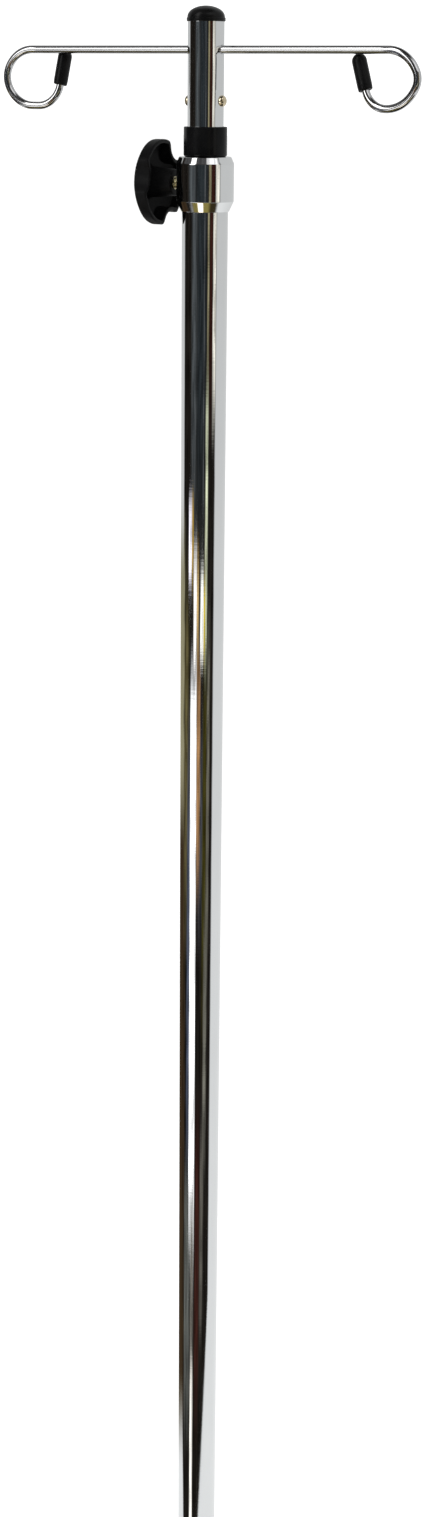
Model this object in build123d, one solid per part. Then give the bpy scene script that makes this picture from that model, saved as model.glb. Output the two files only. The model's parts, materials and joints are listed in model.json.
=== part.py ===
from build123d import *
import math
import os

# A two-section telescoping infusion pole that stands in a socket. Millimetres.
# +Z runs up the pole and the origin is the centre of the foot's lower face.
# The hooks spread along X, and the clamp knob stands on the -X side.

# Stock sizes
OUTER_RADIUS = 14.3            # 1 1/8 in tube
OUTER_WALL = 1.2
INNER_RADIUS = 11.1            # 7/8 in tube
INNER_WALL = 1.0
ROD_RADIUS = 2.38              # 3/16 in rod
STUD_RADIUS = 3.95             # M8 stud, less its running clearance

# Heights of the pole as it is stored, all but closed
TOTAL_HEIGHT = 1250.0
DOME_HEIGHT = 8.8
INNER_TOP = TOTAL_HEIGHT - DOME_HEIGHT
ROD_Z = TOTAL_HEIGHT - 24.7
STOP_Z = TOTAL_HEIGHT - 53.9
BUSH_TOP = TOTAL_HEIGHT - 68.7
COLLAR_TOP = TOTAL_HEIGHT - 86.2
CLAMP_Z = TOTAL_HEIGHT - 102.0
SLIDE_TRAVEL = 700.0
STOP_CLEARANCE = 0.2

# Fits
RUNNING_GAP = 0.07             # a piece that slides or turns on another
SEATED_GAP = 0.05              # a piece that is fixed inside another
LOOSE_GAP = 0.3                # a piece that only passes another

# Clamp collar, brazed to the outer tube's top
COLLAR_RADIUS = 17.75
COLLAR_HEIGHT = 32.2
COLLAR_TOP_RADIUS = 16.0
COLLAR_TOP_CHAMFER = 4.0
COLLAR_FOOT_RADIUS = 14.9
COLLAR_FOOT_CHAMFER = 6.0
SPIGOT_RADIUS = 14.0           # the outer tube is turned down to this inside the collar
LIP_RADIUS = 12.3
LIP_HEIGHT = 4.0
OUTER_TOP = COLLAR_TOP - LIP_HEIGHT
COLLAR_FOOT = COLLAR_TOP - COLLAR_HEIGHT

# Guide bush in the collar
BUSH_HEAD_RADIUS = 13.35
BUSH_LINER_LENGTH = 40.0
BUSH_FOOT_ROUND = 1.4
LUG_RADIUS = 12.95
LUG_WIDTH = 6.0
LUG_HEIGHT = 2.4
LINER_BOTTOM = COLLAR_TOP - BUSH_LINER_LENGTH

# Clamp: distances along its axis are measured from the pole's axis
PAD_RADIUS = 3.7
PAD_GAP = 0.15                 # clamp pad to inner tube, as tightened
PAD_BACK = 13.6
POINT_RADIUS = 2.0
POINT_LENGTH = 1.2
INSERT_RADIUS = 5.2
INSERT_START = 13.15
INSERT_END = 16.95
STUD_END = 38.0
HUB_RADIUS = 8.0
HUB_FACE = 20.5
HUB_BASE_RADIUS = 10.0
KNOB_RIM = 28.5
KNOB_SKIRT_END = 35.2
KNOB_APEX = 44.2
KNOB_RADIUS = 25.5
KNOB_WALL = 2.4
SCALLOP_RADIUS = 10.6
SCALLOP_CENTRE = 30.0
SCALLOP_COUNT = 3
SCALLOP_TURN = 40.0            # first scallop, from straight up towards +Y
KNOB_EDGE_ROUND = 0.8

# Inner tube's lower end: a spool whose neck carries the glide ring
INNER_BOTTOM = LINER_BOTTOM - SLIDE_TRAVEL - STOP_CLEARANCE
SPOOL_PLUG_LENGTH = 24.0
SPOOL_FLANGE_RADIUS = 12.4
SPOOL_FLANGE_HEIGHT = 2.6
SPOOL_NECK_RADIUS = 9.2
SPOOL_NECK_HEIGHT = 10.0
RING_END_GAP = 0.15
RING_SLOT = 2.0
PIN_RADIUS = 1.5
PIN_BORE_RADIUS = 0.9
PIN_SLOT = 0.6
PIN_ABOVE_END = 12.0

# Stop rivet
STOP_SHANK_RADIUS = 2.0
STOP_HEAD_RADIUS = 3.3
STOP_HEAD_HEIGHT = 2.8
STOP_HEAD_ROUND = 2.3

# Hooks: each is bent a little differently. The curl starts forwards, and the upturn leans back behind the bar.
SIDE = {"left": -1, "right": 1}
BAR_END = {"left": 119.2, "right": 114.0}
JOG_RADIUS = 30.0
JOG_ANGLE = 5.0
RUN_IN = {"left": 1.5, "right": 1.9}
CURL_ANGLES = (65.0, 50.0, 65.0)
CURL_RADII = {"left": (18.5, 14.2, 18.5), "right": (20.3, 10.5, 20.3)}
LOOP_FLAT = {"left": 3.8, "right": 0.4}
UPTURN_RADIUS = {"left": 14.5, "right": 14.7}
UPTURN_ANGLE = {"left": 82.1, "right": 71.1}
LEAN_BACK = {"left": 9.4, "right": 5.0}
TIP_STRAIGHT = 18.5

# Soft tips on the rod's ends
TIP_RADIUS = 4.4
TIP_LENGTH = 21.6

# Dome cap on the inner tube
DOME_FLANGE_RADIUS = 11.7
DOME_FLANGE_HEIGHT = 2.2
DOME_BASE_RADIUS = 11.3
DOME_STEM_LENGTH = 28.0
DOME_STEM_BORE = 7.0
DOME_BORE_LENGTH = 22.0

# Foot plug in the outer tube
FOOT_FLANGE_HEIGHT = 3.0
FOOT_EDGE_ROUND = 1.2
FOOT_STEM_LENGTH = 25.0
FOOT_STEM_RADIUS = 12.5
FOOT_BORE_RADIUS = 10.4
FOOT_RIB_HEIGHT = 2.0
FOOT_RIB_SPACING = 7.0
FOOT_RIB_COUNT = 3

OUTER_BORE = OUTER_RADIUS - OUTER_WALL
INNER_BORE = INNER_RADIUS - INNER_WALL
THREAD_RADIUS = STUD_RADIUS + RUNNING_GAP
CLAMP_PLANE = Plane(origin=(0, 0, CLAMP_Z), x_dir=(0, 0, 1), z_dir=(-1, 0, 0))


def disc(radius, low, high):
    """A solid round piece on the pole's axis, between two heights."""
    return extrude(Pos(0, 0, low) * Circle(radius), high - low)


def sleeve(outer_radius, inner_radius, low, high):
    """A tube on the pole's axis, between two heights."""
    return extrude(Pos(0, 0, low) * (Circle(outer_radius) - Circle(inner_radius)), high - low)


def clamp_bar(radius, start, end):
    """A round bar on the clamp's axis, between two distances from the pole's axis."""
    return extrude(CLAMP_PLANE.offset(start) * Circle(radius), end - start)


def cross_bar(radius, half_length, height):
    """A round bar along X, centred on the pole."""
    plane = Plane(origin=(-half_length, 0, height), x_dir=(0, 1, 0), z_dir=(1, 0, 0))
    return extrude(plane * Circle(radius), 2 * half_length)


def cap_sphere_radius(base_radius, height):
    """Radius of the sphere whose cap has this base and height."""
    return (base_radius ** 2 + height ** 2) / (2 * height)


# Outer pole

def outer_tube():
    tube = sleeve(OUTER_RADIUS, OUTER_BORE, FOOT_FLANGE_HEIGHT, COLLAR_FOOT)
    tube = tube + sleeve(SPIGOT_RADIUS, OUTER_BORE, COLLAR_FOOT, OUTER_TOP)
    return tube - clamp_bar(INSERT_RADIUS + SEATED_GAP, 0, OUTER_RADIUS + 1)


def clamp_collar():
    bore = SPIGOT_RADIUS + SEATED_GAP
    section = Polyline(
        (LIP_RADIUS, COLLAR_TOP),
        (COLLAR_TOP_RADIUS, COLLAR_TOP),
        (COLLAR_RADIUS, COLLAR_TOP - COLLAR_TOP_CHAMFER),
        (COLLAR_RADIUS, COLLAR_FOOT + COLLAR_FOOT_CHAMFER),
        (COLLAR_FOOT_RADIUS, COLLAR_FOOT),
        (bore, COLLAR_FOOT),
        (bore, OUTER_TOP),
        (LIP_RADIUS, OUTER_TOP),
        close=True,
    )
    collar = revolve(Plane.XZ * make_face(section), Axis.Z)
    return collar - clamp_bar(INSERT_RADIUS + SEATED_GAP, OUTER_BORE / 2, COLLAR_RADIUS + 1)


def thread_insert():
    return clamp_bar(INSERT_RADIUS, INSERT_START, INSERT_END) - clamp_bar(THREAD_RADIUS, 0, COLLAR_RADIUS)


def guide_bush():
    bore = INNER_RADIUS + RUNNING_GAP
    head = disc(BUSH_HEAD_RADIUS, COLLAR_TOP, BUSH_TOP)
    head = fillet(head.edges().sort_by(Axis.Z)[0], BUSH_FOOT_ROUND)
    head = chamfer(head.edges().sort_by(Axis.Z)[-1], 0.5)
    liner = disc(LIP_RADIUS - SEATED_GAP, LINER_BOTTOM, COLLAR_TOP)
    lug_low = OUTER_TOP - LUG_HEIGHT - SEATED_GAP
    lug_slab = Pos(0, 0, lug_low) * Box(LUG_WIDTH, 2 * OUTER_RADIUS, LUG_HEIGHT, align=(
        Align.CENTER, Align.CENTER, Align.MIN))
    lugs = disc(LUG_RADIUS, lug_low, lug_low + LUG_HEIGHT) & lug_slab
    bush = head + liner + lugs
    bush = bush - disc(bore, LINER_BOTTOM - 1, BUSH_TOP + 1)
    return bush - clamp_bar(PAD_RADIUS + LOOSE_GAP, 0, COLLAR_RADIUS)


def foot_plug():
    flange = disc(OUTER_RADIUS, 0, FOOT_FLANGE_HEIGHT)
    flange = fillet(flange.edges().sort_by(Axis.Z)[0], FOOT_EDGE_ROUND)
    stem_top = FOOT_FLANGE_HEIGHT + FOOT_STEM_LENGTH
    plug = flange + disc(FOOT_STEM_RADIUS, FOOT_FLANGE_HEIGHT, stem_top)
    for rib in range(FOOT_RIB_COUNT):
        low = FOOT_FLANGE_HEIGHT + (rib + 0.5) * FOOT_RIB_SPACING
        plug = plug + disc(OUTER_BORE - SEATED_GAP, low, low + FOOT_RIB_HEIGHT)
    return plug - disc(FOOT_BORE_RADIUS, FOOT_FLANGE_HEIGHT, stem_top + 1)


# Clamp

def clamp_pad():
    pad = clamp_bar(PAD_RADIUS, 0, PAD_BACK)
    pad = pad - disc(INNER_RADIUS + PAD_GAP, CLAMP_Z - COLLAR_HEIGHT, CLAMP_Z + COLLAR_HEIGHT)
    recess_start = PAD_BACK - POINT_LENGTH - SEATED_GAP
    return pad - clamp_bar(POINT_RADIUS + RUNNING_GAP, recess_start, PAD_BACK + 1)


def clamp_stud():
    point = clamp_bar(POINT_RADIUS, PAD_BACK - POINT_LENGTH, PAD_BACK + 1)
    return point + clamp_bar(STUD_RADIUS, PAD_BACK + SEATED_GAP, STUD_END)


def domed_cup(radius, rim, skirt_end, apex):
    """The outside of a round cup on the clamp's axis: a skirt closed by a spherical crown."""
    sphere_radius = cap_sphere_radius(radius, apex - skirt_end)
    crown = Pos(sphere_radius - apex, 0, CLAMP_Z) * Sphere(sphere_radius)
    return clamp_bar(radius, rim, apex + 1) & crown


def scallops(radius):
    """The round finger scallops between the knob's lobes."""
    places = PolarLocations(SCALLOP_CENTRE, SCALLOP_COUNT, start_angle=SCALLOP_TURN)
    section = Sketch() + [place * Circle(radius) for place in places]
    return extrude(CLAMP_PLANE * section, KNOB_APEX + 1)


def clamp_knob():
    body = domed_cup(KNOB_RADIUS, KNOB_RIM, KNOB_SKIRT_END, KNOB_APEX) - scallops(SCALLOP_RADIUS)
    body = fillet(body.edges(), KNOB_EDGE_ROUND)
    hollow = domed_cup(KNOB_RADIUS - KNOB_WALL, KNOB_RIM - 1, KNOB_SKIRT_END, KNOB_APEX - KNOB_WALL)
    hollow = hollow - scallops(SCALLOP_RADIUS + KNOB_WALL)
    hub_face = CLAMP_PLANE.offset(HUB_FACE)
    hub_length = KNOB_APEX - KNOB_WALL - 1 - HUB_FACE
    hub = loft([hub_face * Circle(HUB_RADIUS), hub_face.offset(hub_length) * Circle(HUB_BASE_RADIUS)])
    return body - hollow + hub - clamp_bar(STUD_RADIUS + SEATED_GAP, 0, STUD_END)


# Inner pole

def glide_ring():
    low = INNER_BOTTOM - SPOOL_FLANGE_HEIGHT - SPOOL_NECK_HEIGHT + RING_END_GAP
    high = INNER_BOTTOM - SPOOL_FLANGE_HEIGHT - RING_END_GAP
    ring = sleeve(OUTER_BORE - RUNNING_GAP, SPOOL_NECK_RADIUS + RUNNING_GAP, low, high)
    slot = Pos(0, OUTER_RADIUS / 2, (low + high) / 2) * Box(RING_SLOT, OUTER_RADIUS, high - low + 1)
    return ring - slot


def inner_tube():
    tube = sleeve(INNER_RADIUS, INNER_BORE, INNER_BOTTOM, INNER_TOP)
    tube = tube - cross_bar(ROD_RADIUS + SEATED_GAP, INNER_RADIUS + 1, ROD_Z)
    tube = tube - cross_bar(STOP_SHANK_RADIUS + SEATED_GAP, INNER_RADIUS + 1, STOP_Z)
    return tube - cross_bar(PIN_RADIUS + SEATED_GAP, INNER_RADIUS + 1, INNER_BOTTOM + PIN_ABOVE_END)


def inner_spool():
    neck_top = INNER_BOTTOM - SPOOL_FLANGE_HEIGHT
    neck_low = neck_top - SPOOL_NECK_HEIGHT
    spool = disc(INNER_BORE - SEATED_GAP, INNER_BOTTOM, INNER_BOTTOM + SPOOL_PLUG_LENGTH)
    spool = spool + disc(SPOOL_FLANGE_RADIUS, neck_top, INNER_BOTTOM)
    spool = spool + disc(SPOOL_NECK_RADIUS, neck_low, neck_top)
    spool = spool + disc(SPOOL_FLANGE_RADIUS, neck_low - SPOOL_FLANGE_HEIGHT, neck_low)
    return spool - cross_bar(PIN_RADIUS + SEATED_GAP, INNER_RADIUS, INNER_BOTTOM + PIN_ABOVE_END)


def spool_pin():
    height = INNER_BOTTOM + PIN_ABOVE_END
    half_length = INNER_RADIUS - LOOSE_GAP
    pin = cross_bar(PIN_RADIUS, half_length, height) - cross_bar(PIN_BORE_RADIUS, half_length, height)
    slot = Pos(0, 0, height + PIN_RADIUS) * Box(2 * half_length, PIN_SLOT, 2 * PIN_RADIUS)
    return pin - slot


def stop_rivet():
    heads = cross_bar(STOP_HEAD_RADIUS, INNER_RADIUS + STOP_HEAD_HEIGHT, STOP_Z)
    heads = fillet(heads.edges().filter_by(GeomType.CIRCLE), STOP_HEAD_ROUND)
    heads = heads - disc(INNER_RADIUS + SEATED_GAP, STOP_Z - INNER_RADIUS, STOP_Z + INNER_RADIUS)
    return heads + cross_bar(STOP_SHANK_RADIUS, INNER_RADIUS + 1, STOP_Z)


def turned(heading, towards, degrees):
    """A direction after a turn by this angle towards another one square to it."""
    turn = math.radians(degrees)
    return heading * math.cos(turn) + towards * math.sin(turn)


def bent(start, heading, towards, radius, degrees):
    """A bend: its edge, and the end, heading and inward direction that it leaves the rod with."""
    centre = start + towards * radius
    middle = centre - turned(towards, -heading, degrees / 2) * radius
    end = centre - turned(towards, -heading, degrees) * radius
    arc = ThreePointArc(start, middle, end)
    return arc, end, turned(heading, towards, degrees), turned(towards, -heading, degrees)


def hook_path(name):
    """One hook's centre line from the bar to the rod's end, and where its straight end starts and points."""
    start = Vector(SIDE[name] * BAR_END[name], 0, ROD_Z)
    heading = Vector(SIDE[name], 0, 0)
    jog, start, heading, forwards = bent(start, heading, Vector(0, -1, 0), JOG_RADIUS, JOG_ANGLE)
    run_in = Line(start, start + heading * RUN_IN[name])
    start = start + heading * RUN_IN[name]
    edges = [jog, run_in]
    inwards = Vector(0, 0, -1)
    for radius, angle in zip(CURL_RADII[name], CURL_ANGLES):
        arc, start, heading, inwards = bent(start, heading, inwards, radius, angle)
        edges.append(arc)
    edges.append(Line(start, start + heading * LOOP_FLAT[name]))
    start = start + heading * LOOP_FLAT[name]
    up = turned(inwards, -forwards, LEAN_BACK[name])
    upturn, start, heading, inwards = bent(start, heading, up, UPTURN_RADIUS[name], UPTURN_ANGLE[name])
    edges.append(upturn)
    edges.append(Line(start, start + heading * TIP_STRAIGHT))
    return edges, start, heading


def hook_rod():
    left = hook_path("left")[0]
    right = hook_path("right")[0]
    bar = Line(left[0] @ 0, right[0] @ 0)
    path = Wire([*left, bar, *right])
    section = Plane(origin=path @ 0, z_dir=path % 0) * Circle(ROD_RADIUS)
    return sweep(section, path=path)


def hook_tip(name):
    """A soft cap slipped over one end of the rod, closed by a round nose."""
    edges, start, heading = hook_path(name)
    base = Plane(origin=start, z_dir=heading)
    cap = extrude(base * Circle(TIP_RADIUS), TIP_LENGTH - TIP_RADIUS)
    cap = cap + base.offset(TIP_LENGTH - TIP_RADIUS) * Sphere(TIP_RADIUS)
    return cap - extrude(base * Circle(ROD_RADIUS + SEATED_GAP), TIP_STRAIGHT)


def dome_cap():
    dome_low = INNER_TOP + DOME_FLANGE_HEIGHT
    sphere_radius = cap_sphere_radius(DOME_BASE_RADIUS, TOTAL_HEIGHT - dome_low)
    crown = Pos(0, 0, TOTAL_HEIGHT - sphere_radius) * Sphere(sphere_radius)
    cap = disc(DOME_FLANGE_RADIUS, INNER_TOP, dome_low)
    cap = cap + (crown & disc(DOME_BASE_RADIUS, dome_low, TOTAL_HEIGHT + 1))
    stem_low = INNER_TOP - DOME_STEM_LENGTH
    cap = cap + disc(INNER_BORE - SEATED_GAP, stem_low, INNER_TOP)
    cap = cap - disc(DOME_STEM_BORE, stem_low - 1, stem_low + DOME_BORE_LENGTH)
    return cap - cross_bar(ROD_RADIUS + SEATED_GAP, INNER_RADIUS, ROD_Z)


PIECES = {
    "outer_tube": outer_tube(),
    "clamp_collar": clamp_collar(),
    "thread_insert": thread_insert(),
    "guide_bush": guide_bush(),
    "foot_plug": foot_plug(),
    "clamp_pad": clamp_pad(),
    "clamp_stud": clamp_stud(),
    "clamp_knob": clamp_knob(),
    "glide_ring": glide_ring(),
    "inner_tube": inner_tube(),
    "inner_spool": inner_spool(),
    "spool_pin": spool_pin(),
    "stop_rivet": stop_rivet(),
    "hook_rod": hook_rod(),
    "hook_tip_left": hook_tip("left"),
    "hook_tip_right": hook_tip("right"),
    "dome_cap": dome_cap(),
}

os.makedirs("parts", exist_ok=True)
for node, piece in PIECES.items():
    export_step(piece, f"parts/{node}.step")
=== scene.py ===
import json
import math

import bmesh
import bpy
import numpy as np
from mathutils import Matrix, Vector


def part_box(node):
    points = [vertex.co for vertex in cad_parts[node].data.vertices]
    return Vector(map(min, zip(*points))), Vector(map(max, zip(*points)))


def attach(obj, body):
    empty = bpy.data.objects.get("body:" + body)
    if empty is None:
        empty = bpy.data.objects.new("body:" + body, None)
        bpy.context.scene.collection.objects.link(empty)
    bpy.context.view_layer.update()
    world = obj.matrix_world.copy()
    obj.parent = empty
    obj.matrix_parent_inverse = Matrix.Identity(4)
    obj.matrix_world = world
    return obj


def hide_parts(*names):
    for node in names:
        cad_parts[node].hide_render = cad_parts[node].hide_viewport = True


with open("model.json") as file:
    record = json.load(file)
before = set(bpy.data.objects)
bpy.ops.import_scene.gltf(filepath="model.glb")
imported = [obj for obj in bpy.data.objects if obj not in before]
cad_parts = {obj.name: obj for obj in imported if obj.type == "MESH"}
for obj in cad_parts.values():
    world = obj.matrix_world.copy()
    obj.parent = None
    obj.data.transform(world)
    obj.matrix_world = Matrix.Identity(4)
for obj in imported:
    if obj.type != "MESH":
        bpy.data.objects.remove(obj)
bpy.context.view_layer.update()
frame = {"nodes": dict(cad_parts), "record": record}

# A telescoping infusion pole. Metres, in the CAD frame: +Z up the pole, hooks along X, knob on the -X side.

MM = 0.001

# Sizes that no CAD box gives
OUTER_WALL = 1.2 * MM
INNER_WALL = 1.0 * MM
ROD_RADIUS = 2.38 * MM
TIP_RADIUS = 4.4 * MM
THREAD_PITCH = 1.25 * MM
THREAD_DEPTH = 0.68 * MM
KNOB_WALL = 2.4 * MM
SCALLOP_RADIUS = 10.6 * MM
SCALLOP_CENTRE = 30.0 * MM
SCALLOP_COUNT = 3
SCALLOP_TURN = math.radians(40)
HUB_RADIUS = 8.0 * MM
HUB_ROOT_RADIUS = 9.6 * MM
KNOB_RIM_DEPTH = 8.0 * MM      # from the hub's face to the rim
KNOB_CROWN = 9.0 * MM          # from the skirt's end to the apex
LIP_RADIUS = 12.3 * MM         # collar's bore above the outer tube
LINER_RADIUS = 12.25 * MM
SPIGOT_STEP = 0.3 * MM         # the outer tube is turned down by this inside the collar
STUD_POINT_RADIUS = 2 * MM
STUD_POINT_START = 12.42 * MM  # from the pole's axis
THREAD_START = 13.7 * MM
RIVET_SHANK_RADIUS = 2 * MM

# Hooks, as bent: millimetres and degrees
SIDES = {"left": -1, "right": 1}
BAR_END = {"left": 119.2, "right": 114.0}
JOG = (30.0, 5.0)
RUN_IN = {"left": 1.5, "right": 1.9}
CURL_ANGLES = (65.0, 50.0, 65.0)
CURL_RADII = {"left": (18.5, 14.2, 18.5), "right": (20.3, 10.5, 20.3)}
LOOP_FLAT = {"left": 3.8, "right": 0.4}
UPTURN = {"left": (14.5, 82.1), "right": (14.7, 71.1)}
LEAN_BACK = {"left": 9.4, "right": 5.0}
TIP_STRAIGHT = 18.5

# Fineness of the meshes
LATHE_STEPS = 160
ROUND_STEPS = 7
KNOB_STEPS = 360
KNOB_CROWN_ROWS = 14
THREAD_AROUND = 72
THREAD_ROWS_PER_PITCH = 16
BEND_STEP = 2.5                # degrees
CAP_STEPS = 18
RIVET_CROWN_STEPS = 14
TIP_NOSE_STEPS = 12
BEAD_STEPS = 72
BRACE_LEAST = 1.5 * MM         # only sides longer than this are braced
BRACE_INSET = 0.05 * MM
BORE_ROW = 5 * MM              # a row of the bore's mesh this far from each end
ON_AXIS = 0.00002 * MM         # where a turned outline ends: as good as on the axis


# Mesh tools

def mesh_object(name, vertices, faces, sharp_degrees=35):
    """A smooth-shaded mesh object whose edges stay crisp above this angle."""
    mesh = bpy.data.meshes.new(name)
    mesh.from_pydata([tuple(v) for v in vertices], [], faces)
    build = bmesh.new()
    build.from_mesh(mesh)
    bmesh.ops.remove_doubles(build, verts=build.verts, dist=1e-7)
    bmesh.ops.recalc_face_normals(build, faces=build.faces)
    build.to_mesh(mesh)
    build.free()
    for polygon in mesh.polygons:
        polygon.use_smooth = True
    mesh.set_sharp_from_angle(angle=math.radians(sharp_degrees))
    piece = bpy.data.objects.new(name, mesh)
    bpy.context.scene.collection.objects.link(piece)
    return piece


def rounded(corners, steps=ROUND_STEPS):
    """An open outline through (radius, height, rounding) corners, each corner turned by its rounding."""
    points = []
    last = len(corners) - 1
    for i, (x, y, rounding) in enumerate(corners):
        here = Vector((x, y))
        if rounding <= 0 or i in (0, last):
            points.append(here)
            continue
        back = (Vector(corners[i - 1][:2]) - here).normalized()
        ahead = (Vector(corners[i + 1][:2]) - here).normalized()
        half = back.angle(ahead) / 2
        centre = here + (back + ahead).normalized() * (rounding / math.sin(half))
        start = here + back * (rounding / math.tan(half)) - centre
        end = here + ahead * (rounding / math.tan(half)) - centre
        turn = start.angle_signed(end)
        for k in range(steps + 1):
            points.append(centre + Matrix.Rotation(-turn * k / steps, 2) @ start)
    return [(p.x, p.y) for p in points]


def braced(outline, closed):
    """Adds a point near each end of every long side, which keeps the side's shading straight."""
    count = len(outline)
    points = []
    for i, (radius, height) in enumerate(outline):
        points.append((radius, height))
        if i == count - 1 and not closed:
            break
        here = Vector((radius, height))
        ahead = Vector(outline[(i + 1) % count])
        if (ahead - here).length > BRACE_LEAST:
            inset = (ahead - here).normalized() * BRACE_INSET
            points += [tuple(here + inset), tuple(ahead - inset)]
    return points


def lathe(name, outline, place=Matrix.Identity(4), closed=True, steps=LATHE_STEPS):
    """Turns a (radius, height) outline about the place's Z axis. A closed outline is a ring's section."""
    outline = braced(outline, closed)
    vertices = []
    for radius, height in outline:
        for k in range(steps):
            turn = 2 * math.pi * k / steps
            vertices.append(place @ Vector((radius * math.cos(turn), radius * math.sin(turn), height)))
    rows = len(outline)
    faces = []
    for row in range(rows if closed else rows - 1):
        above = (row + 1) % rows
        for k in range(steps):
            ahead = (k + 1) % steps
            faces.append((row * steps + k, row * steps + ahead, above * steps + ahead, above * steps + k))
    return mesh_object(name, vertices, faces)


def sweep(name, points, radius, around, capped=True):
    """A round bar along a line of points, kept from twisting."""
    vertices = []
    count = len(points)
    heading = (points[1] - points[0]).normalized()
    side = heading.orthogonal().normalized()
    for i, point in enumerate(points):
        before = points[max(i - 1, 0)]
        after = points[min(i + 1, count - 1)]
        onwards = (after - before).normalized()
        side = heading.rotation_difference(onwards) @ side
        heading = onwards
        other = heading.cross(side)
        for k in range(around):
            turn = 2 * math.pi * k / around
            vertices.append(point + (side * math.cos(turn) + other * math.sin(turn)) * radius)
    faces = []
    for i in range(count - 1):
        for k in range(around):
            ahead = (k + 1) % around
            faces.append((i * around + k, i * around + ahead, (i + 1) * around + ahead, (i + 1) * around + k))
    if capped:
        faces.append(tuple(reversed(range(around))))
        faces.append(tuple(range((count - 1) * around, count * around)))
    return mesh_object(name, vertices, faces, 50)


def turned(heading, towards, degrees):
    """A direction after a turn by this angle towards another one square to it."""
    turn = math.radians(degrees)
    return heading * math.cos(turn) + towards * math.sin(turn)


def bend(line, heading, towards, radius, degrees):
    """Adds a bend to a line of points. Gives the heading and the inward direction after it."""
    centre = line[-1] + towards * radius
    steps = max(2, math.ceil(degrees / BEND_STEP))
    for k in range(1, steps + 1):
        line.append(centre - turned(towards, -heading, degrees * k / steps) * radius)
    return turned(heading, towards, degrees), turned(towards, -heading, degrees)


def quarter(steps):
    """Cosines and sines from 0 to a quarter turn."""
    turns = [k * math.pi / (2 * steps) for k in range(steps + 1)]
    return [(math.cos(turn), math.sin(turn)) for turn in turns]


def place_on(origin, z_axis, x_axis):
    """A frame with this origin, Z axis and X direction."""
    z = Vector(z_axis).normalized()
    x = (Vector(x_axis) - z * Vector(x_axis).dot(z)).normalized()
    turn = Matrix((x, z.cross(x), z)).transposed().to_4x4()
    return Matrix.Translation(origin) @ turn


def bored(piece, cutter):
    """The piece with the cutter's shape taken out of it. The cutter is used up."""
    cut = piece.modifiers.new("bore", "BOOLEAN")
    cut.operation = "DIFFERENCE"
    cut.solver = "EXACT"
    cut.object = cutter
    depsgraph = bpy.context.evaluated_depsgraph_get()
    mesh = bpy.data.meshes.new_from_object(piece.evaluated_get(depsgraph))
    piece.modifiers.clear()
    piece.data = mesh
    for polygon in mesh.polygons:
        polygon.use_smooth = True
    mesh.set_sharp_from_angle(angle=math.radians(30))
    bpy.data.objects.remove(cutter)
    return piece


def half_width(box, axis=0):
    """Half the box's size along an axis: a round piece's radius."""
    low, high = box
    return (high[axis] - low[axis]) / 2


# Materials

class Nodes:
    """Short calls for the nodes that the finishes and the world are made of."""

    def __init__(self, tree):
        self.tree = tree

    def node(self, kind, **settings):
        made = self.tree.nodes.new(kind)
        for key, value in settings.items():
            setattr(made, key, value)
        return made

    def link(self, source, target):
        self.tree.links.new(source, target)

    def math(self, operation, *values):
        made = self.node("ShaderNodeMath", operation=operation)
        for socket, value in zip(made.inputs, values):
            if isinstance(value, (int, float)):
                socket.default_value = value
            else:
                self.link(value, socket)
        return made.outputs[0]

    def ranged(self, value, from_low, from_high, to_low, to_high, shape="LINEAR"):
        """Carries a value from one range to another, and holds it at the ends."""
        ramp = self.node("ShaderNodeMapRange", interpolation_type=shape)
        limits = (from_low, from_high, to_low, to_high)
        for socket, number in zip(("From Min", "From Max", "To Min", "To Max"), limits):
            ramp.inputs[socket].default_value = number
        self.link(value, ramp.inputs["Value"])
        return ramp.outputs["Result"]


class Recipe(Nodes):
    """One node material."""

    def __init__(self, name, colour, metallic=0.0, roughness=0.5):
        self.material = bpy.data.materials.new(name)
        self.material.use_nodes = True
        super().__init__(self.material.node_tree)
        self.shader = self.tree.nodes["Principled BSDF"]
        self.shader.inputs["Base Color"].default_value = (*colour, 1)
        self.shader.inputs["Metallic"].default_value = metallic
        self.shader.inputs["Roughness"].default_value = roughness
        self.coordinates = self.node("ShaderNodeTexCoord").outputs["Object"]
        self.height = None

    def stretched(self, scale):
        mapping = self.node("ShaderNodeMapping")
        mapping.inputs["Scale"].default_value = scale
        self.link(self.coordinates, mapping.inputs["Vector"])
        return mapping.outputs["Vector"]

    def noise(self, scale, detail, stretch=(1, 1, 1)):
        texture = self.node("ShaderNodeTexNoise")
        texture.inputs["Scale"].default_value = scale
        texture.inputs["Detail"].default_value = detail
        texture.inputs["Roughness"].default_value = 0.55
        self.link(self.stretched(stretch), texture.inputs["Vector"])
        return texture.outputs["Fac"]

    def tint(self, value, dark, light):
        mix = self.node("ShaderNodeMix", data_type="RGBA")
        mix.inputs["A"].default_value = (*dark, 1)
        mix.inputs["B"].default_value = (*light, 1)
        self.link(value, mix.inputs["Factor"])
        self.link(mix.outputs["Result"], self.shader.inputs["Base Color"])

    def rough(self, value):
        self.link(value, self.shader.inputs["Roughness"])

    def bump(self, value, distance):
        """Lays one more height over the bumps before it."""
        made = self.node("ShaderNodeBump")
        made.inputs["Distance"].default_value = distance
        made.inputs["Strength"].default_value = 1.0
        self.link(value, made.inputs["Height"])
        if self.height is not None:
            self.link(self.height, made.inputs["Normal"])
        self.height = made.outputs["Normal"]
        self.link(self.height, self.shader.inputs["Normal"])


# Noise scales are in bumps a metre and bump heights in metres.
TUBE_TINTS = ((0.74, 0.745, 0.75), (0.84, 0.845, 0.85))
# Painted shade: the hook rod's chrome is a darker copy of the tube's tints, standing in for the darker
# reflections on the bent rod
ROD_SHADED_TINTS = ((0.54, 0.54, 0.55), (0.64, 0.64, 0.65))
SMUDGE_SCALE = 38
WIPE_SCALE = 900
WAVE_SCALE = 70
RING_SCALE = 900
SPECKLE_SCALE = 2600
SPECKLE_HEIGHT = 0.0000004
CLOUD_SCALE = 60
GLOSS_SPREAD = 0.08
MARK_SCALE = 500
MARK_HEIGHT = 0.000004


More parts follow.
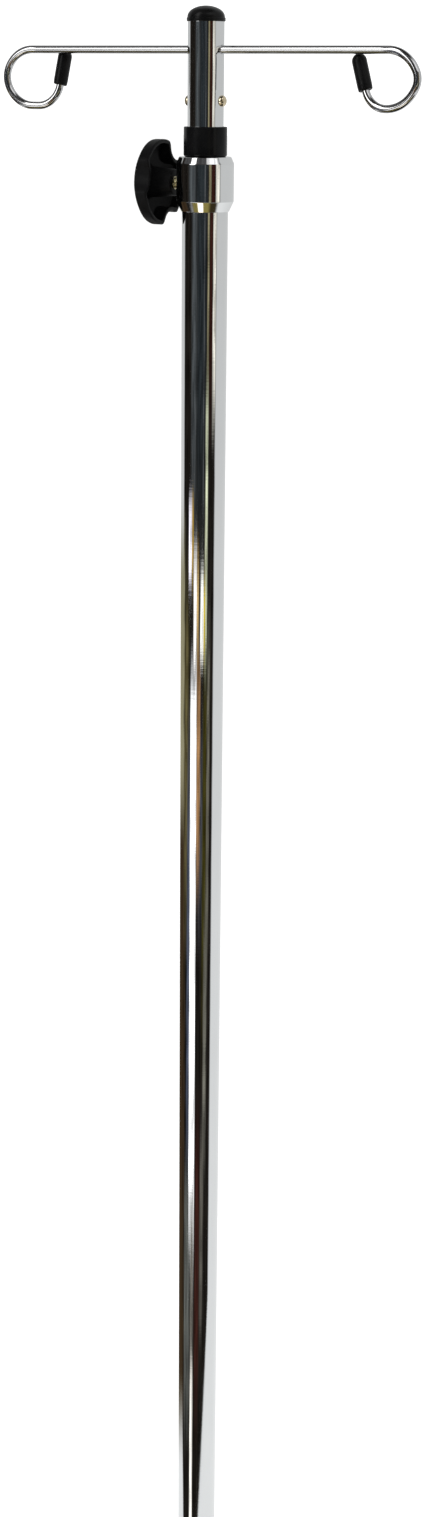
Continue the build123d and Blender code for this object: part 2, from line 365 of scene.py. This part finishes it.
def chrome(name, along=(1, 1, 0.06), wave=0.00002, ring=0.0000035, around=(0.04, 0.04, 1),
           softness=0.018, tints=TUBE_TINTS):
    """Bright chrome plate: nearly a mirror, wavy along the metal, with faint polishing rings."""
    dark, light = tints
    recipe = Recipe(name, light, metallic=1.0, roughness=0.04)
    smudge = recipe.noise(SMUDGE_SCALE, 4.0, (1, 1, 0.35))
    recipe.tint(smudge, dark, light)
    wipe = recipe.noise(WIPE_SCALE, 2.0, (1, 1, 0.03))
    film = recipe.ranged(smudge, 0.42, 0.72, softness, softness + 0.037)
    streak = recipe.ranged(wipe, 0.4, 0.8, 0.0, 0.03)
    recipe.rough(recipe.math("ADD", film, streak))
    recipe.bump(recipe.noise(WAVE_SCALE, 1.5, along), wave)
    recipe.bump(recipe.noise(RING_SCALE, 2.5, around), ring)
    recipe.bump(recipe.noise(SPECKLE_SCALE, 1.0), SPECKLE_HEIGHT)
    return recipe.material


def moulded(name, colour, light, roughness, grain_scale, grain_height, shine=0.5):
    """Moulded plastic: a fine grain, uneven gloss and a little dust."""
    recipe = Recipe(name, colour, roughness=roughness)
    recipe.shader.inputs["Specular IOR Level"].default_value = shine
    cloud = recipe.noise(CLOUD_SCALE, 4.0)
    recipe.tint(recipe.ranged(cloud, 0.35, 0.75, 0, 1), colour, light)
    gloss = recipe.ranged(cloud, 0.3, 0.7, roughness - GLOSS_SPREAD, roughness + GLOSS_SPREAD)
    recipe.rough(gloss)
    recipe.bump(recipe.noise(grain_scale, 2.0), grain_height)
    return recipe.material


def metal(name, colour, light, roughness, stretch=(1, 1, 1)):
    """Plain or plated metal with fine working marks."""
    recipe = Recipe(name, colour, metallic=1.0, roughness=roughness)
    marks = recipe.noise(MARK_SCALE, 3.0, stretch)
    recipe.tint(marks, colour, light)
    recipe.rough(recipe.ranged(marks, 0.3, 0.75, roughness * 0.7, roughness * 1.4))
    recipe.bump(marks, MARK_HEIGHT)
    return recipe.material


MATERIALS = {
    "tube_chrome": chrome("tube_chrome"),
    "collar_chrome": chrome("collar_chrome", along=(1, 1, 1), wave=0.000008),
    # The rod chrome takes the darker tints: painted shade in its base colour, for the hooks' darker
    # reflections
    "rod_chrome": chrome("rod_chrome", along=(0.3, 1, 1), wave=0.000004, ring=0.0000002,
                         around=(1, 1, 1), softness=0.10, tints=ROD_SHADED_TINTS),
    "rivet_steel": metal("rivet_steel", (0.60, 0.50, 0.34), (0.78, 0.68, 0.50), 0.18),
    "stud_zinc": metal("stud_zinc", (0.62, 0.56, 0.36), (0.80, 0.76, 0.56), 0.28),
    "insert_brass": metal("insert_brass", (0.62, 0.45, 0.20), (0.80, 0.62, 0.32), 0.25, stretch=(0.2, 1, 1)),
    "pin_steel": metal("pin_steel", (0.42, 0.43, 0.45), (0.58, 0.59, 0.61), 0.30, stretch=(0.1, 1, 1)),
    "knob_black": moulded("knob_black", (0.0022, 0.0022, 0.0024), (0.006, 0.006, 0.0062), 0.46, 2400, 0.00003,
                          shine=0.09),
    "bush_black": moulded("bush_black", (0.0022, 0.0022, 0.0024), (0.005, 0.005, 0.0052), 0.20, 900, 0.000006,
                          shine=0.11),
    "cap_black": moulded("cap_black", (0.0022, 0.0022, 0.0024), (0.005, 0.0048, 0.0048), 0.32, 1200, 0.00001,
                         shine=0.16),
    "tip_vinyl": moulded("tip_vinyl", (0.0020, 0.0020, 0.0022), (0.005, 0.005, 0.0052), 0.38, 420, 0.00003,
                         shine=0.14),
    "foot_black": moulded("foot_black", (0.004, 0.004, 0.0042), (0.009, 0.009, 0.0092), 0.5, 1800, 0.00003,
                          shine=0.2),
    "spool_black": moulded("spool_black", (0.020, 0.020, 0.021), (0.034, 0.034, 0.035), 0.45, 1800, 0.00002),
    "glide_nylon": moulded("glide_nylon", (0.74, 0.72, 0.64), (0.84, 0.82, 0.76), 0.42, 1500, 0.00002),
}


def settle(piece, node):
    """The piece stands for a CAD node: it moves with the node's body and takes its finish."""
    slots = {part["node"]: part["material_slot"] for part in frame["record"]["subparts"]}
    bodies = frame["record"]["behaviour"]["bodies"]
    body = next(name for name, members in bodies.items() if node in members)
    slot = slots[node]
    piece.data.materials.append(MATERIALS[slot])
    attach(piece, body)
    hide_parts(node)


# Camera

def add_camera():
    """The photograph's viewpoint: right of the pole's front, level with the hooks, looking down."""
    azimuth = math.radians(27.567)
    distance = 1.2221
    below_top = 0.0419
    aim_turn = math.radians(-0.389)
    pitch = math.radians(19.624)
    roll = math.radians(0.506)
    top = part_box("dome_cap")[1].z
    data = bpy.data.cameras.new("camera")
    data.sensor_width = 36
    data.lens = 45.16
    data.clip_end = 100
    camera = bpy.data.objects.new("camera", data)
    spot = Vector((distance * math.sin(azimuth), -distance * math.cos(azimuth), top - below_top))
    aim = Matrix.Rotation(azimuth + aim_turn, 4, "Z")
    aim = aim @ Matrix.Rotation(math.pi / 2 - pitch, 4, "X") @ Matrix.Rotation(roll, 4, "Z")
    camera.matrix_world = Matrix.Translation(spot) @ aim
    bpy.context.scene.collection.objects.link(camera)
    bpy.context.scene.camera = camera


# Pieces on the pole's axis

def side_cutter(name, radius):
    """A bar along the clamp's axis, from inside the pole to beyond the collar."""
    section = [(ON_AXIS, 5 * MM), (radius, 5 * MM), (radius, 25 * MM), (ON_AXIS, 25 * MM)]
    return lathe(name, section, clamp_place(), False, 64)


def outer_tube():
    low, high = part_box("outer_tube")
    radius = half_width((low, high))
    collar_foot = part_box("clamp_collar")[0].z
    spigot = radius - SPIGOT_STEP
    bore = radius - OUTER_WALL
    edge = 0.25 * MM
    outline = rounded([
        (bore, low.z + BORE_ROW, 0),
        (bore, low.z, edge),
        (radius, low.z, edge),
        (radius, collar_foot, 0),
        (spigot, collar_foot, 0),
        (spigot, high.z, edge),
        (bore, high.z, edge),
        (bore, high.z - BORE_ROW, 0),
    ])
    settle(lathe("outer_tube_shell", outline), "outer_tube")


def inner_tube():
    low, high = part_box("inner_tube")
    radius = half_width((low, high))
    bore = radius - INNER_WALL
    edge = 0.2 * MM
    outline = rounded([
        (bore, low.z + BORE_ROW, 0),
        (bore, low.z, edge),
        (radius, low.z, edge),
        (radius, high.z, edge),
        (bore, high.z, edge),
        (bore, high.z - BORE_ROW, 0),
    ])
    settle(lathe("inner_tube_shell", outline), "inner_tube")


def clamp_collar():
    low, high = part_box("clamp_collar")
    radius = half_width((low, high))
    tube = half_width(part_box("outer_tube"))
    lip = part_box("outer_tube")[1].z
    soft = 0.7 * MM
    outline = rounded([
        (tube - 0.25 * MM, low.z, 0),
        (radius - 2.85 * MM, low.z, 0.3 * MM),
        (radius, low.z + 6 * MM, soft),
        (radius, high.z - 4 * MM, 2 * soft),
        (radius - 1.75 * MM, high.z, soft),
        (LIP_RADIUS, high.z, 0.2 * MM),
        (LIP_RADIUS, lip, 0),
        (tube - 0.25 * MM, lip, 0),
    ])
    hole = half_width(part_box("thread_insert"), 1) + 0.02 * MM
    settle(bored(lathe("collar_body", outline), side_cutter("collar_hole", hole)), "clamp_collar")


def guide_bush():
    low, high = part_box("guide_bush")
    radius = half_width((low, high))
    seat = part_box("clamp_collar")[1].z
    bore = half_width(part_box("inner_tube")) + 0.07 * MM
    outline = rounded([
        (bore, low.z, 0),
        (LINER_RADIUS, low.z, 0.3 * MM),
        (LINER_RADIUS, seat, 0),
        (radius, seat, 1.4 * MM),
        (radius, high.z, 0.5 * MM),
        (bore + 0.5 * MM, high.z, 0.15 * MM),
        (bore, high.z - 0.5 * MM, 0.15 * MM),
    ])
    hole = half_width(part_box("clamp_pad"), 1) + 0.1 * MM
    settle(bored(lathe("guide_bush_sleeve", outline), side_cutter("bush_hole", hole)), "guide_bush")


def dome_cap():
    low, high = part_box("dome_cap")
    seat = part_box("inner_tube")[1].z
    radius = half_width((low, high))
    stem = half_width(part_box("inner_tube")) - INNER_WALL
    base = radius - 0.4 * MM
    shoulder = seat + 2.2 * MM
    rise = high.z - shoulder
    crown = [(base * c, shoulder + rise * s ** 0.92) for c, s in quarter(CAP_STEPS)]
    crown[-1] = (ON_AXIS, high.z)
    foot = rounded([
        (ON_AXIS, low.z, 0),
        (stem, low.z, 0.8 * MM),
        (stem, seat, 0),
        (radius, seat, 0.35 * MM),
        (radius, shoulder, 0.5 * MM),
        (base, shoulder, 0),
    ])
    settle(lathe("dome_cap_plug", foot[:-1] + crown, closed=False), "dome_cap")


def foot_plug():
    low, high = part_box("foot_plug")
    radius = half_width((low, high))
    stem = radius - OUTER_WALL - 0.6 * MM
    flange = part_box("outer_tube")[0].z
    outline = rounded([
        (ON_AXIS, low.z + 0.6 * MM, 0),
        (radius * 0.62, low.z + 0.6 * MM, 0.4 * MM),
        (radius * 0.66, low.z, 0.4 * MM),
        (radius, low.z, 1.2 * MM),
        (radius, flange, 0.2 * MM),
        (stem, flange, 0),
        (stem, high.z, 0.5 * MM),
        (stem - 2 * MM, high.z, 0.3 * MM),
        (stem - 2 * MM, flange + 0.4 * MM, 0.5 * MM),
        (ON_AXIS, flange + 0.4 * MM, 0),
    ])
    settle(lathe("foot_plug_cup", outline, closed=False), "foot_plug")


def stop_rivet():
    low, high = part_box("stop_rivet")
    height = (low.z + high.z) / 2
    head = half_width((low, high), 1)
    reach = high.x
    tube = half_width(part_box("inner_tube"))
    seat = math.sqrt(tube ** 2 - head ** 2)
    rim = 0.9 * MM
    rise = reach - seat - rim
    crown = [(head * c, rim + rise * s) for c, s in quarter(RIVET_CROWN_STEPS)]
    crown[-1] = (ON_AXIS, reach - seat)
    outline = [(ON_AXIS, -0.4 * MM), (head - 0.15 * MM, -0.4 * MM), (head, -0.25 * MM)] + crown
    heads = []
    for side in (-1, 1):
        place = place_on((side * seat, 0, height), (side, 0, 0), (0, 0, 1))
        heads.append(lathe(f"stop_rivet_head_{'left' if side < 0 else 'right'}", outline, place, False, 64))
    shank = place_on((0, 0, height), (1, 0, 0), (0, 0, 1))
    bar = [(ON_AXIS, -seat), (RIVET_SHANK_RADIUS, -seat), (RIVET_SHANK_RADIUS, seat), (ON_AXIS, seat)]
    heads.append(lathe("stop_rivet_shank", bar, shank, False, 48))
    for piece in heads:
        settle(piece, "stop_rivet")


# Hooks

def hook_line(name):
    """A hook's centre line from the bar's end outwards, and its last run's start and heading."""
    side = SIDES[name]
    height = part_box("hook_rod")[1].z - ROD_RADIUS
    line = [Vector((side * BAR_END[name] * MM, 0, height))]
    heading = Vector((side, 0, 0))
    heading, forwards = bend(line, heading, Vector((0, -1, 0)), JOG[0] * MM, JOG[1])
    line.append(line[-1] + heading * RUN_IN[name] * MM)
    inwards = Vector((0, 0, -1))
    for radius, degrees in zip(CURL_RADII[name], CURL_ANGLES):
        heading, inwards = bend(line, heading, inwards, radius * MM, degrees)
    line.append(line[-1] + heading * LOOP_FLAT[name] * MM)
    up = turned(inwards, -forwards, LEAN_BACK[name])
    heading, up = bend(line, heading, up, UPTURN[name][0] * MM, UPTURN[name][1])
    tip_start = line[-1]
    line.append(tip_start + heading * TIP_STRAIGHT * MM)
    return line, tip_start, heading


def hooks():
    left = hook_line("left")
    right = hook_line("right")
    settle(sweep("hook_rod_bar", list(reversed(left[0])) + right[0], ROD_RADIUS, 40), "hook_rod")
    for name, (line, start, heading) in (("left", left), ("right", right)):
        node = f"hook_tip_{name}"
        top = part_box(node)[1].z
        radius = TIP_RADIUS
        length = (top - start.z - radius) / heading.z + radius
        nose = [(radius * c, length - radius + radius * s) for c, s in quarter(TIP_NOSE_STEPS)]
        nose[-1] = (ON_AXIS, length)
        mouth = rounded([
            (ROD_RADIUS + 0.05 * MM, 6 * MM, 0),
            (ROD_RADIUS + 0.05 * MM, 0.3 * MM, 0.3 * MM),
            (radius - 0.2 * MM, 0, 0.8 * MM),
            (radius, 3 * MM, 0),
        ])
        place = place_on(start, heading, (0, 1, 0))
        settle(lathe(f"{node}_cap", mouth + nose, place, False, 96), node)


def braze_beads():
    """A thin bead of filler round the crossbar where it enters the inner tube."""
    tube = half_width(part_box("inner_tube"))
    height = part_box("hook_rod")[1].z - ROD_RADIUS
    bead = 0.35 * MM
    reach = ROD_RADIUS + bead * 0.4
    for side in (-1, 1):
        ring = []
        for k in range(BEAD_STEPS + 1):
            turn = 2 * math.pi * k / BEAD_STEPS
            y = reach * math.cos(turn)
            z = reach * math.sin(turn)
            ring.append(Vector((side * math.sqrt(tube ** 2 - y ** 2), y, height + z)))
        name = f"braze_bead_{'left' if side < 0 else 'right'}"
        settle(sweep(name, ring, bead, 12, capped=False), "hook_rod")


# Clamp

def clamp_place():
    """A frame on the clamp's axis, from the pole's axis: Z outwards and X up."""
    low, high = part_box("clamp_stud")
    height = (low.z + high.z) / 2
    return place_on((0, 0, height), (-1, 0, 0), (0, 0, 1))


def knob_reach(turn, radius, widen=0.0):
    """How far the knob's outline reaches at this angle: round lobes with scallops between them."""
    reach = radius
    for k in range(SCALLOP_COUNT):
        off = turn - SCALLOP_TURN - 2 * math.pi * k / SCALLOP_COUNT
        off = (off + math.pi) % (2 * math.pi) - math.pi
        across = SCALLOP_CENTRE * math.sin(off)
        scallop = SCALLOP_RADIUS + widen
        if abs(off) < math.pi / 2 and abs(across) < scallop:
            reach = min(reach, SCALLOP_CENTRE * math.cos(off) - math.sqrt(scallop ** 2 - across ** 2))
    return reach


def softened(reaches, reach):
    """A ring of radii with its corners rounded by a moving average, this many steps each way."""
    count = len(reaches)
    kernel = np.hanning(2 * reach + 3)[1:-1]
    kernel /= kernel.sum()
    tiled = np.concatenate([reaches[-reach:], reaches, reaches[:reach]])
    return np.convolve(tiled, kernel, mode="valid")[:count]


def clamp_knob():
    low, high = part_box("clamp_knob")
    apex = -low.x
    hub_face = -high.x
    radius = max(abs(c) for c in (low.y, high.y))
    rim = hub_face + KNOB_RIM_DEPTH
    sphere = (radius ** 2 + KNOB_CROWN ** 2) / (2 * KNOB_CROWN)
    turns = [2 * math.pi * k / KNOB_STEPS for k in range(KNOB_STEPS)]
    outer = softened(np.array([knob_reach(t, radius) for t in turns]), 5)
    inner = softened(np.array([knob_reach(t, radius - KNOB_WALL, KNOB_WALL) for t in turns]), 5)
    stud = half_width(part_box("clamp_stud"), 1)
    ceiling = sphere - KNOB_WALL

    def dome(r, size):
        """How far out a sphere of this size is at this distance from the clamp's axis."""
        return apex - sphere + math.sqrt(size ** 2 - r ** 2)

    profiles = []
    for out, into in zip(outer, inner):
        corners = [
            (stud, hub_face + 1.5 * MM, 0),
            (stud, hub_face, 0.25 * MM),
            (HUB_RADIUS, hub_face, 0.8 * MM),
            (HUB_ROOT_RADIUS, dome(HUB_ROOT_RADIUS, ceiling), 1.5 * MM),
            (into * 0.8, dome(into * 0.8, ceiling), 0),
            (into, dome(into, ceiling), 1.0 * MM),
            (into, rim, 0.7 * MM),
            (out, rim, 0.9 * MM),
            (out, dome(out, sphere), 1.6 * MM),
        ]
        edge = out * 0.9
        shell = rounded(corners + [(edge, dome(edge, sphere), 0)], 5)
        radii = [edge * (1 - row / KNOB_CROWN_ROWS) for row in range(1, KNOB_CROWN_ROWS)]
        crown = [(r, dome(r, sphere)) for r in radii]
        crown.append((ON_AXIS, apex))
        profiles.append(shell + crown)
    place = clamp_place()
    rows = len(profiles[0])
    vertices = []
    for turn, profile in zip(turns, profiles):
        for r, u in profile:
            vertices.append(place @ Vector((r * math.cos(turn), r * math.sin(turn), u)))
    faces = []
    for k in range(KNOB_STEPS):
        ahead = (k + 1) % KNOB_STEPS
        for row in range(rows - 1):
            faces.append((k * rows + row, k * rows + row + 1, ahead * rows + row + 1, ahead * rows + row))
    settle(mesh_object("clamp_knob_shell", vertices, faces, 60), "clamp_knob")


def clamp_stud():
    """The stud, with its real thread from the clamp's point to inside the knob's hub."""
    low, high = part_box("clamp_stud")
    radius = half_width((low, high), 1)
    start = THREAD_START
    end = -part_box("clamp_knob")[1].x + 1.4 * MM
    around = THREAD_AROUND
    rows = int((end - start) / THREAD_PITCH * THREAD_ROWS_PER_PITCH)
    place = clamp_place()
    vertices = []
    for row in range(rows + 1):
        u = start + (end - start) * row / rows
        for k in range(around):
            turn = 2 * math.pi * k / around
            phase = (u / THREAD_PITCH - turn / (2 * math.pi)) % 1.0
            crest = min(1.0, max(0.0, abs(phase * 2 - 1) * 1.5 - 0.2))
            r = radius - THREAD_DEPTH * (1 - crest)
            vertices.append(place @ Vector((r * math.cos(turn), r * math.sin(turn), u)))
    faces = []
    for row in range(rows):
        for k in range(around):
            ahead = (k + 1) % around
            faces.append((row * around + k, row * around + ahead,
                          (row + 1) * around + ahead, (row + 1) * around + k))
    faces.append(tuple(reversed(range(around))))
    faces.append(tuple(range(rows * around, (rows + 1) * around)))
    settle(mesh_object("clamp_stud_thread", vertices, faces, 40), "clamp_stud")
    point_end = THREAD_START + 0.1 * MM
    point = rounded([
        (ON_AXIS, STUD_POINT_START, 0),
        (STUD_POINT_RADIUS, STUD_POINT_START, 0.3 * MM),
        (STUD_POINT_RADIUS, point_end, 0),
    ], 5)
    point.append((ON_AXIS, point_end))
    settle(lathe("clamp_stud_point", point, place, False, 48), "clamp_stud")


def dress_cad_nodes():
    """The CAD nodes take their finish. Those that nothing replaces keep their shape."""
    for part in frame["record"]["subparts"]:
        node = frame["nodes"][part["node"]]
        node.data.materials.clear()
        node.data.materials.append(MATERIALS[part["material_slot"]])


# Stage

def add_floor():
    plane = bpy.data.meshes.new("floor")
    reach = 40.0
    plane.from_pydata([(-reach, -reach, 0), (reach, -reach, 0), (reach, reach, 0), (-reach, reach, 0)],
                      [], [(0, 1, 2, 3)])
    floor = bpy.data.objects.new("floor", plane)
    recipe = Recipe("floor_paper", (0.86, 0.86, 0.86), roughness=0.9)
    recipe.tint(recipe.noise(1.5, 2.0), (0.85, 0.85, 0.85), (0.87, 0.87, 0.87))
    plane.materials.append(recipe.material)
    bpy.context.scene.collection.objects.link(floor)
    floor.visible_glossy = False


# What the chrome reflects: a dark room in front of a white wall, with lamps and a window.
# Each row gives the middle azimuth and half width in degrees, from the front (-Y) towards +X;
# the lowest and highest elevation in degrees; how softly its sides and its top and bottom fade,
# in degrees; and its colour. A later row lies over earlier ones, and every row over the wall.
PANELS = (
    (-118, 38, -38.5, -13, 5, 1.5, (0.290, 0.270, 0.170)),
    (-112, 42, -38.8, -21, 6, 1.5, (0.040, 0.025, 0.013)),
    (-24, 13, -12, 12, 9, 4, (0.080, 0.090, 0.096)),
    (15, 22, -12, 12, 9, 4, (0.024, 0.030, 0.034)),
    (28, 1.6, -12, 20, 1.2, 2, (0.100, 0.105, 0.110)),
    (-64, 16, -24, -15, 10, 2.5, (0.120, 0.100, 0.042)),
    (-44, 10, -31, -20, 8, 3, (0.085, 0.100, 0.150)),
    (24, 14, -24, -19, 7, 2, (0.070, 0.075, 0.090)),
    (46, 11, -27, -17, 6, 3, (0.050, 0.044, 0.008)),
    (-46, 20, -38.5, -32, 7, 1.5, (0.120, 0.125, 0.115)),
    (18, 13, -38, -31, 6, 2, (0.050, 0.016, 0.012)),
    (64, 7, -25, -16, 5, 2, (0.170, 0.160, 0.125)),
    (56, 9, -31, -25, 6, 2, (0.180, 0.175, 0.145)),
    (44, 9, -36, -31, 6, 1.5, (0.140, 0.130, 0.110)),
    (62, 9, -9, 20, 5, 2, (0.032, 0.010, 0.007)),
    (48, 4, -8, 20, 3, 2, (0.360, 0.320, 0.190)),
    (80, 8, -9, 60, 3, 2, (0.920, 0.890, 0.790)),
    (46, 6, -16.5, -9, 4, 1.5, (0.700, 0.740, 0.520)),
    (10, 10, -23, -17, 5, 1.5, (0.420, 0.230, 0.100)),
    (-28, 6, -14.2, -12, 3, 0.6, (0.700, 0.450, 0.080)),
    (-41, 9, -14.2, -12, 4, 0.6, (1.50, 1.45, 1.60)),
    (2, 6, -16.5, -13.5, 3, 0.6, (0.600, 0.400, 0.160)),
    (-11, 8, -16.8, -13.5, 4, 0.6, (1.60, 1.55, 1.50)),
    (38, 5, -16.4, -14.4, 3, 0.5, (0.750, 0.560, 0.020)),
    (26, 8, -16.6, -14.2, 4, 0.6, (1.60, 1.60, 1.50)),
    (-18, 17, -33, -17.5, 4, 1.5, (1.90, 1.90, 1.90)),
    (-12, 10, -34.0, -29, 5, 1.5, (1.50, 1.50, 1.50)),
    (-12, 9, -37.0, -33, 5, 1.2, (0.160, 0.150, 0.130)),
    (-12, 8, -43.0, -37.4, 4, 1.0, (1.40, 1.35, 1.25)),
    (-100, 32, 30, 60, 6, 4, (0.180, 0.180, 0.180)),
    (-18, 52, 28, 62, 6, 4, (0.070, 0.070, 0.072)),
    (62, 26, 30, 60, 6, 4, (1.10, 1.10, 1.10)),
    (-28, 10, 5, 56, 4, 3, (3.20, 3.20, 3.15)),
    (0, 118, -62, -47, 10, 2, (0.030, 0.022, 0.010)),
    (0, 52, -62, -47, 12, 2, (0.210, 0.175, 0.050)),
    (2, 14, -59, -48, 5, 2, (1.60, 1.45, 1.20)),
)
ROOM = (0.013, 0.011, 0.009)
WALL = (0.64, 0.65, 0.65)
WALL_EDGE = 90.0       # the wall begins this far round from the front
WALL_FADE = 5.0
WALL_TOP = 60.0        # above this elevation, and as far below the horizon, there is only the dark room
WALL_END_FADE = 8.0
WALL_GAIN = (-40, 0, 1.42, 0.98)       # how much brighter the wall is at the first two elevations
WALL_CLOSES = 35.3     # this far below the horizon the wall begins to close in towards the front
WALL_CLOSING = 7.0     # degrees round for the first degree further down, on the right
WALL_LEFT = 0.45       # the left side closes in by this share of it
WALL_BEND = 1.13       # above 1, it closes in faster the further down
SHELF_STRETCH = (0.09, 0.9)            # the room is uneven, in level bands
SHELF_RANGE = (0.34, 0.68, 0.45, 1.6)
SOFT_STRENGTH = 1.3    # the plain white light that everything but a reflection sees


def window(world, value, low, high, softness):
    """1 inside a range, falling smoothly to 0 outside it."""
    rising = world.ranged(value, low - softness, low + softness, 0, 1, "SMOOTHSTEP")
    falling = world.ranged(value, high + softness, high - softness, 0, 1, "SMOOTHSTEP")
    return world.math("MULTIPLY", rising, falling)


def over(world, below, strength, colour):
    """A colour laid over what is there already."""
    mix = world.node("ShaderNodeMix", data_type="RGBA")
    world.link(strength, mix.inputs["Factor"])
    mix.inputs["A"].default_value = (*ROOM, 1)
    if below is not None:
        world.link(below, mix.inputs["A"])
    mix.inputs["B"].default_value = (*colour, 1)
    return mix.outputs["Result"]


def wall_cover(world, azimuth, elevation):
    """Where the wall is: behind the pole, and closing in under it."""
    steepness = world.math("SUBTRACT", world.math("MULTIPLY", elevation, -1), WALL_CLOSES)
    steepness = world.math("MAXIMUM", steepness, 0)
    closing = world.math("MULTIPLY", world.math("POWER", steepness, WALL_BEND), WALL_CLOSING)
    closing = world.math("MULTIPLY", closing, world.ranged(azimuth, -20, 20, WALL_LEFT, 1))
    round_to = world.math("ADD", world.math("ABSOLUTE", azimuth), closing)
    sides = window(world, round_to, WALL_EDGE, 1000, WALL_FADE)
    ends = window(world, elevation, -WALL_TOP, WALL_TOP, WALL_END_FADE)
    return world.math("MULTIPLY", sides, ends)


def unevenness(world, azimuth, elevation, wall):
    """How bright each direction is: banded in the room, and even on the wall but for its gain."""
    across = world.node("ShaderNodeCombineXYZ")
    world.link(world.math("MULTIPLY", azimuth, SHELF_STRETCH[0]), across.inputs[0])
    world.link(world.math("MULTIPLY", elevation, SHELF_STRETCH[1]), across.inputs[1])
    shelves = world.node("ShaderNodeTexNoise")
    shelves.inputs["Scale"].default_value = 1.0
    shelves.inputs["Detail"].default_value = 4.0
    world.link(across.outputs[0], shelves.inputs["Vector"])
    uneven = world.ranged(shelves.outputs["Fac"], *SHELF_RANGE)
    change = world.math("SUBTRACT", world.ranged(elevation, *WALL_GAIN), uneven)
    return world.math("ADD", uneven, world.math("MULTIPLY", change, wall))


def add_world():
    """Soft white light, and in reflections a dark room in front of the pole and a wall behind it."""
    studio = bpy.data.worlds.new("studio")
    studio.use_nodes = True
    bpy.context.scene.world = studio
    studio.node_tree.nodes.clear()
    world = Nodes(studio.node_tree)
    direction = world.node("ShaderNodeSeparateXYZ")
    world.link(world.node("ShaderNodeTexCoord").outputs["Generated"], direction.inputs[0])
    x, y, z = direction.outputs
    azimuth = world.math("DEGREES", world.math("ARCTAN2", x, world.math("MULTIPLY", y, -1)))
    elevation = world.math("DEGREES", world.math("ARCSINE", z))
    wall = wall_cover(world, azimuth, elevation)
    total = over(world, None, wall, WALL)
    for middle, half, low, high, side_fade, end_fade, colour in PANELS:
        off = world.math("WRAP", world.math("SUBTRACT", azimuth, middle), 180, -180)
        across = window(world, off, -half, half, side_fade)
        upright = window(world, elevation, low, high, end_fade)
        total = over(world, total, world.math("MULTIPLY", across, upright), colour)
    shade = world.node("ShaderNodeVectorMath", operation="SCALE")
    world.link(total, shade.inputs[0])
    world.link(unevenness(world, azimuth, elevation, wall), shade.inputs["Scale"])
    reflected = world.node("ShaderNodeBackground")
    world.link(shade.outputs[0], reflected.inputs["Color"])
    reflected.inputs["Strength"].default_value = 1.0
    soft = world.node("ShaderNodeBackground")
    soft.inputs["Color"].default_value = (1, 1, 1, 1)
    soft.inputs["Strength"].default_value = SOFT_STRENGTH
    chosen = world.node("ShaderNodeMixShader")
    world.link(world.node("ShaderNodeLightPath").outputs["Is Glossy Ray"], chosen.inputs["Fac"])
    world.link(soft.outputs[0], chosen.inputs[1])
    world.link(reflected.outputs[0], chosen.inputs[2])
    world.link(chosen.outputs[0], world.node("ShaderNodeOutputWorld").inputs["Surface"])


def add_lights():
    """One soft lamp from the front left gives the plastics their shape."""
    data = bpy.data.lights.new("key", "AREA")
    data.energy = 14
    data.size = 1.2
    lamp = bpy.data.objects.new("key", data)
    spot = Vector((-1.4, -1.8, 1.4))
    aim = Vector((0, 0, 1.1)) - spot
    lamp.matrix_world = Matrix.Translation(spot) @ aim.to_track_quat("-Z", "Y").to_matrix().to_4x4()
    lamp.visible_glossy = False
    bpy.context.scene.collection.objects.link(lamp)


add_camera()
dress_cad_nodes()
outer_tube()
inner_tube()
clamp_collar()
guide_bush()
dome_cap()
foot_plug()
stop_rivet()
hooks()
braze_beads()
clamp_knob()
clamp_stud()
add_floor()
add_world()
add_lights()
bpy.context.scene.view_settings.view_transform = "Standard"
